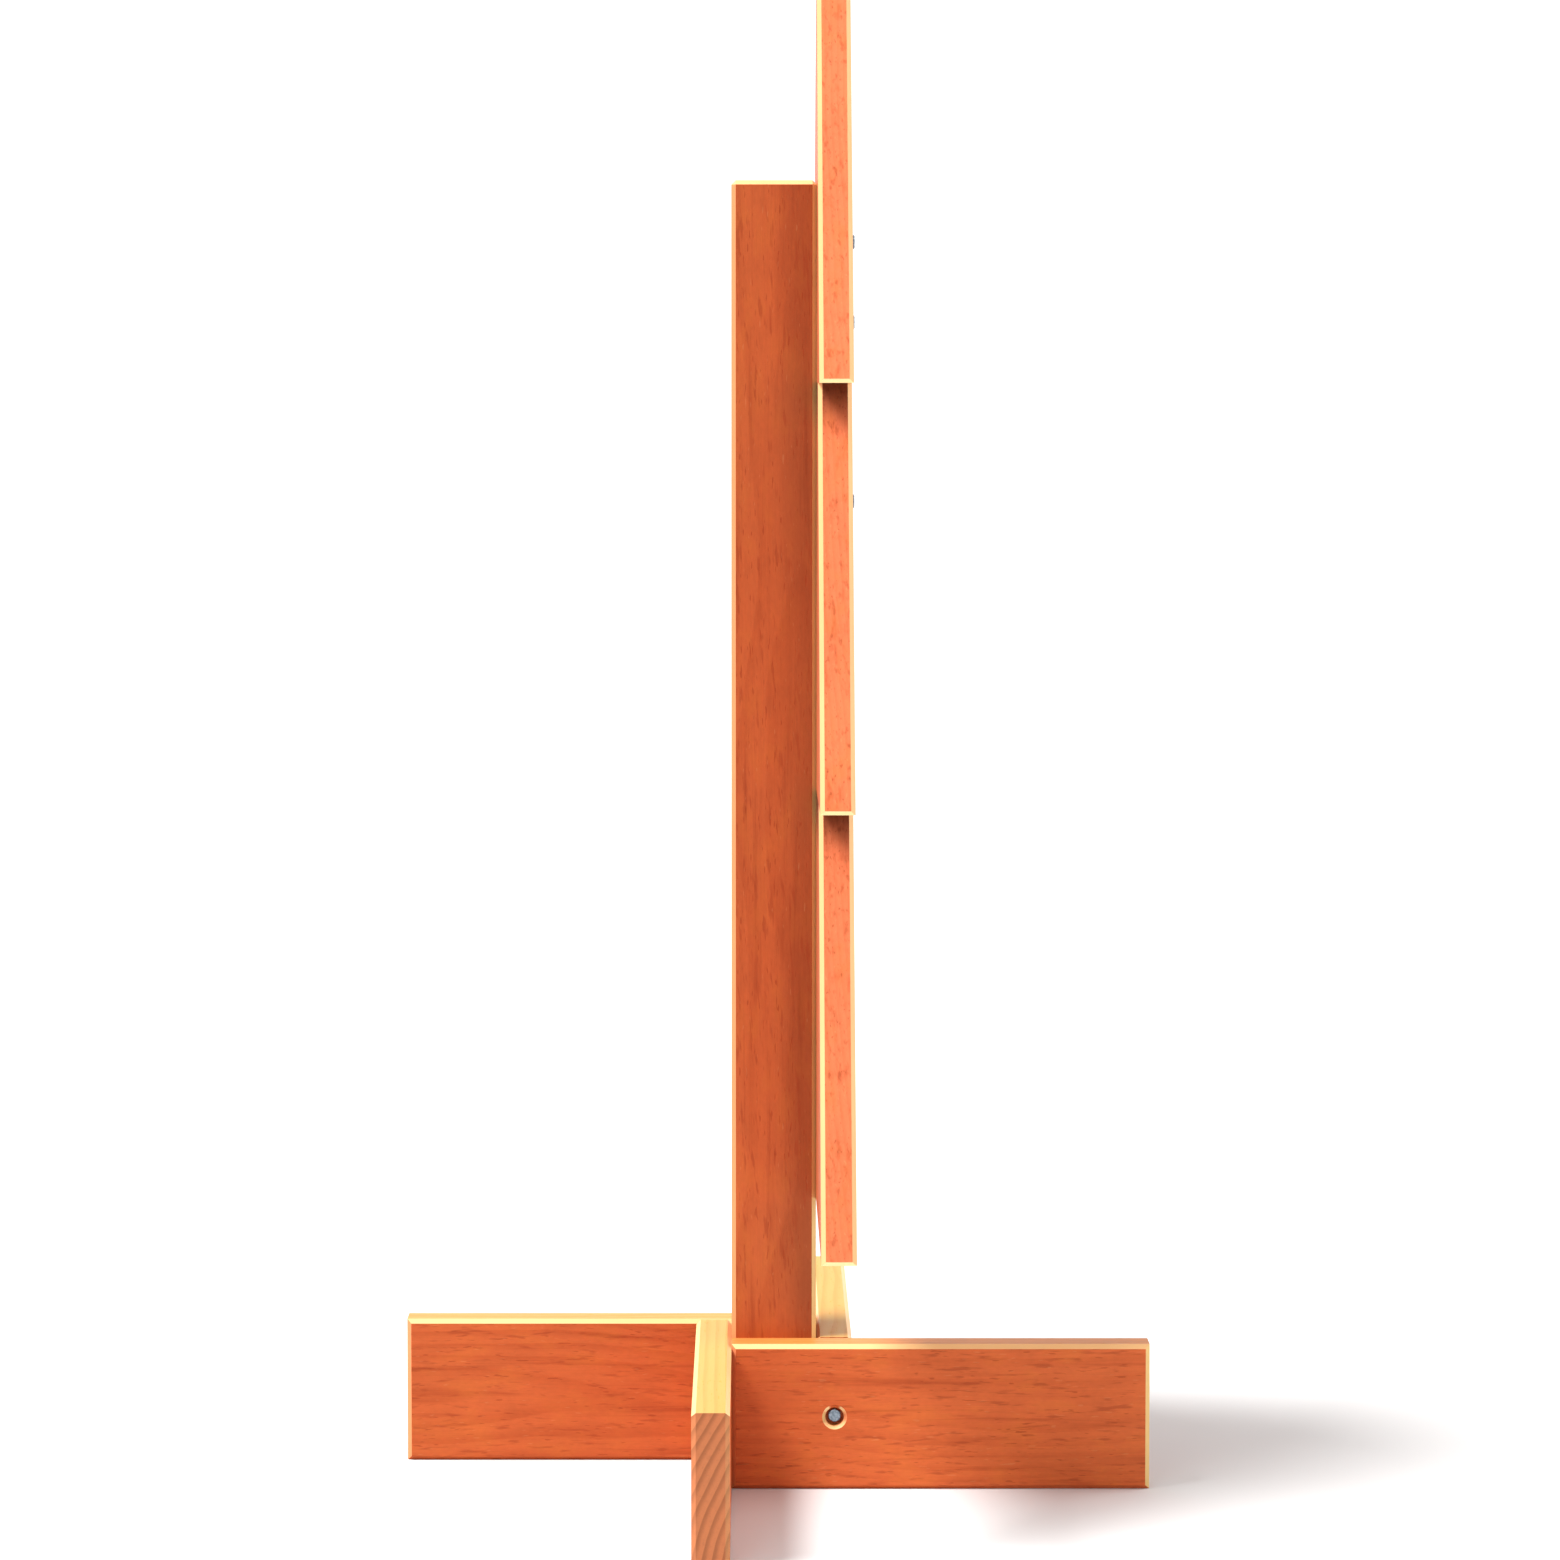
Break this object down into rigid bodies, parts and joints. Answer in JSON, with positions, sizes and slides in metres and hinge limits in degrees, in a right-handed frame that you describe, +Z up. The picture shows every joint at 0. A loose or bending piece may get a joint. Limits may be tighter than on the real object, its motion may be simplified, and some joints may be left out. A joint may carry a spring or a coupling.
{
  "type": "free-standing tree-shaped panel",
  "caption": "Flat tiered fir-tree panel lagged to one side of a square timber post that stands on a pinwheel base of butted arms.",
  "frame": {"origin": "on the floor under the middle of the post, which is the centre of the box's bottom", "axes": "+Z up the post; the panel is on the post's +X side and spreads along Y"},
  "size_m": [0.7872, 0.8104, 1.618],
  "materials": {
    "post_wood": "clear-finished reddish softwood, vertical grain",
    "arm_wood": "clear-finished reddish softwood, grain along the arm",
    "panel_wood": "clear-finished reddish softwood, vertical grain",
    "zinc_steel": "dull blue-grey plating"
  },
  "bodies": {
    "root": {"arm_back": "arm_wood", "arm_back_lag_screw": "zinc_steel", "arm_front": "arm_wood", "arm_front_lag_screw": "zinc_steel", "arm_left": "arm_wood", "arm_left_lag_screw": "zinc_steel", "arm_right": "arm_wood", "arm_right_lag_screw": "zinc_steel", "lower_tier": "panel_wood", "lower_tier_lower_lag_screw": "zinc_steel", "lower_tier_upper_lag_screw": "zinc_steel", "middle_tier": "panel_wood", "middle_tier_lower_lag_screw": "zinc_steel", "middle_tier_upper_lag_screw": "zinc_steel", "post": "post_wood", "top_tier": "panel_wood", "top_tier_lower_lag_screw": "zinc_steel", "top_tier_upper_lag_screw": "zinc_steel"}
  },
  "joints": []
}
